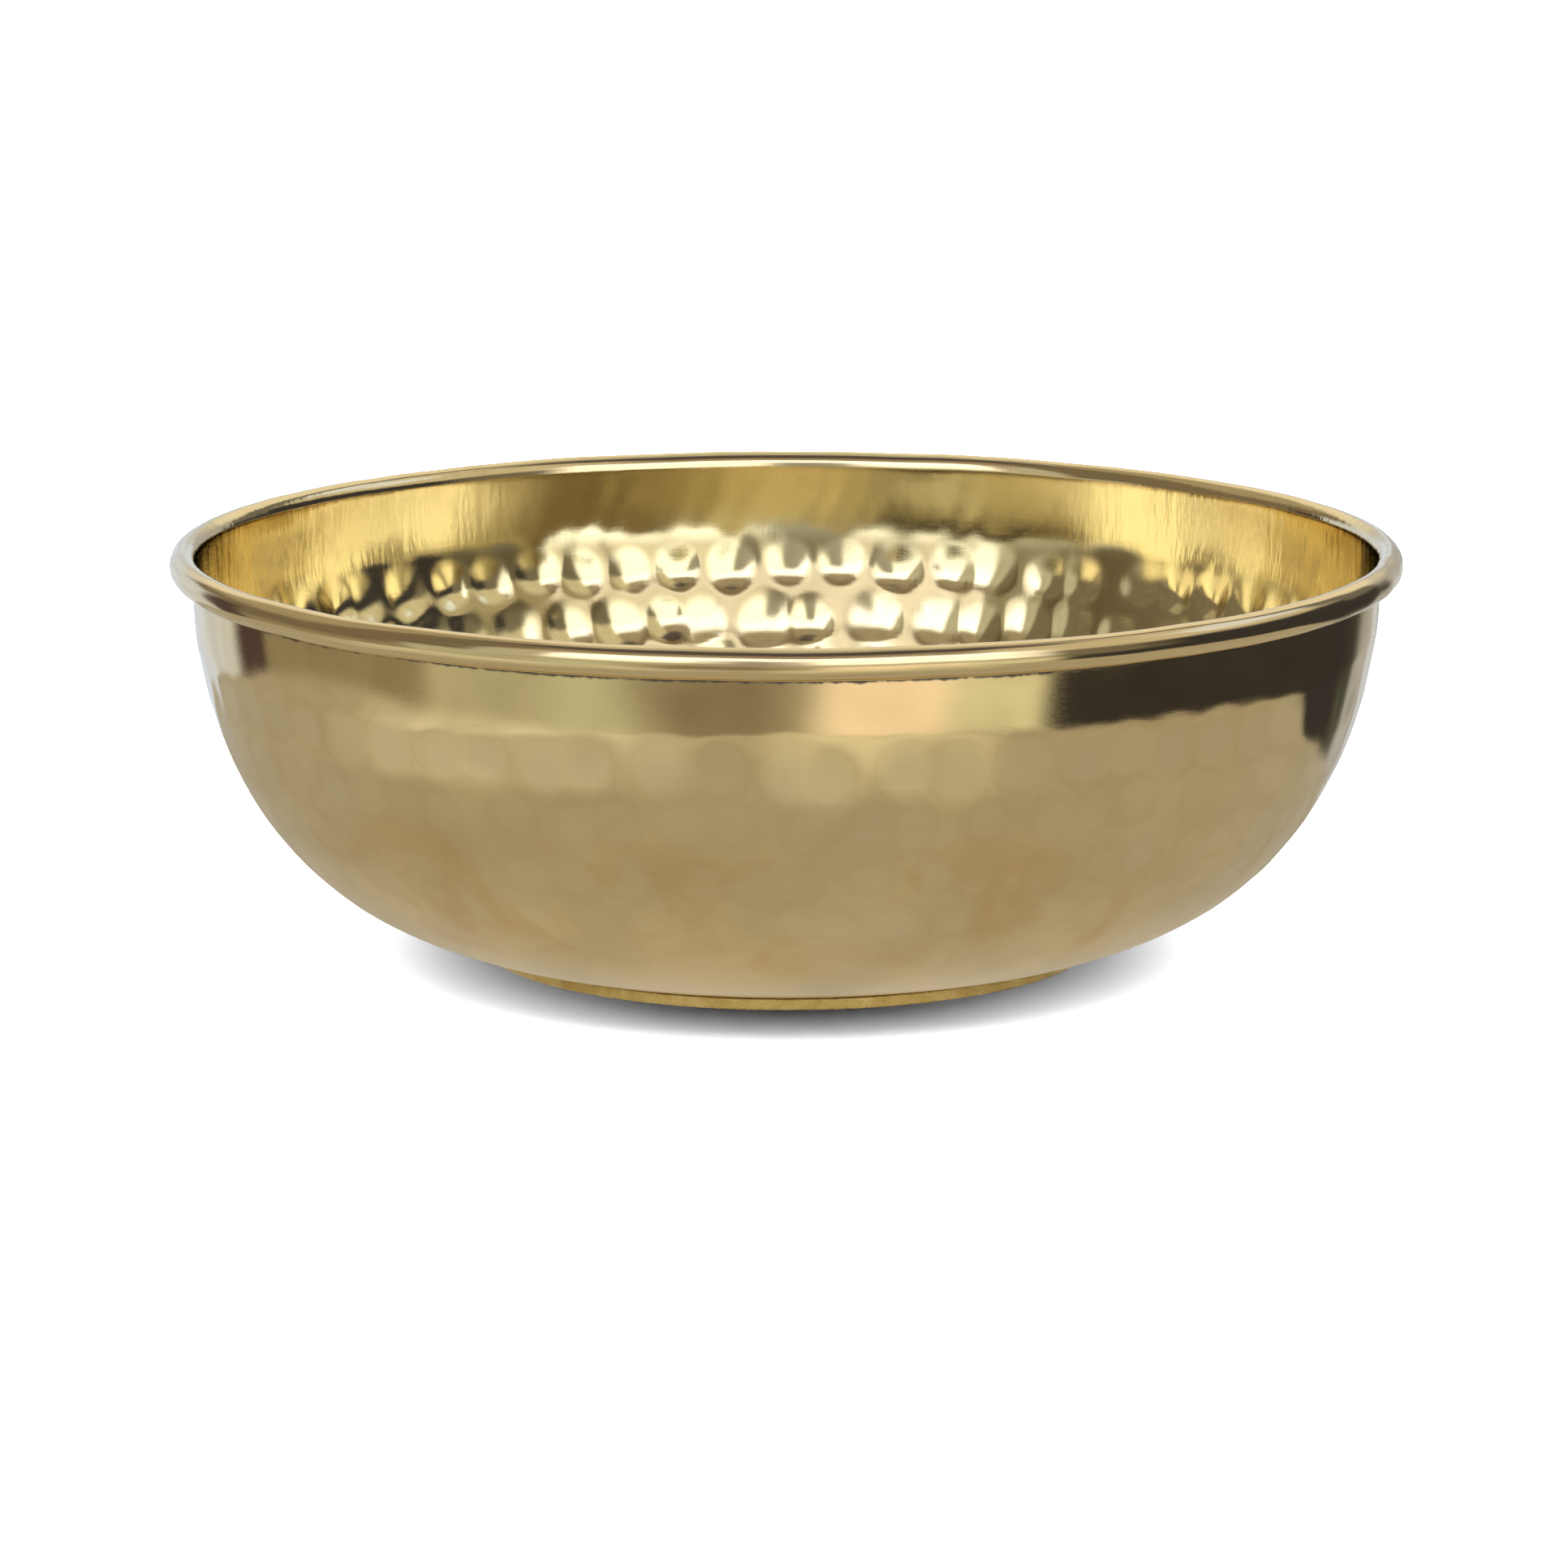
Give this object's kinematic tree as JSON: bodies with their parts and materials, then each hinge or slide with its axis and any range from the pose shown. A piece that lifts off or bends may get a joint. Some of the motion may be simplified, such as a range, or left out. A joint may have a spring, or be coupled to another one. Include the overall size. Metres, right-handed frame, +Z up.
{
  "type": "brass bowl",
  "caption": "Deep round bowl of hammered sheet brass, its edge rolled outward over a wire into a round bead, standing on a low brazed ring foot.",
  "frame": {"origin": "centre of the foot ring's underside, on the surface that the bowl stands on", "axes": "+Z up along the bowl's axis; the bowl is round, so +X and +Y are any two directions across the rim, with -Y towards the pictured side"},
  "size_m": [0.25, 0.25, 0.0832],
  "materials": {
    "shell_brass": "polished outside over faint hammer marks, bright hammered inside",
    "wire_brass": "drawn wire, hidden inside the curl",
    "foot_brass": "filed, rougher and more golden than the bowl",
    "braze": "rough braze metal"
  },
  "bodies": {
    "root": {"bowl_shell": "shell_brass", "rim_wire": "wire_brass", "foot_ring": "foot_brass", "foot_braze": "braze"}
  },
  "joints": []
}
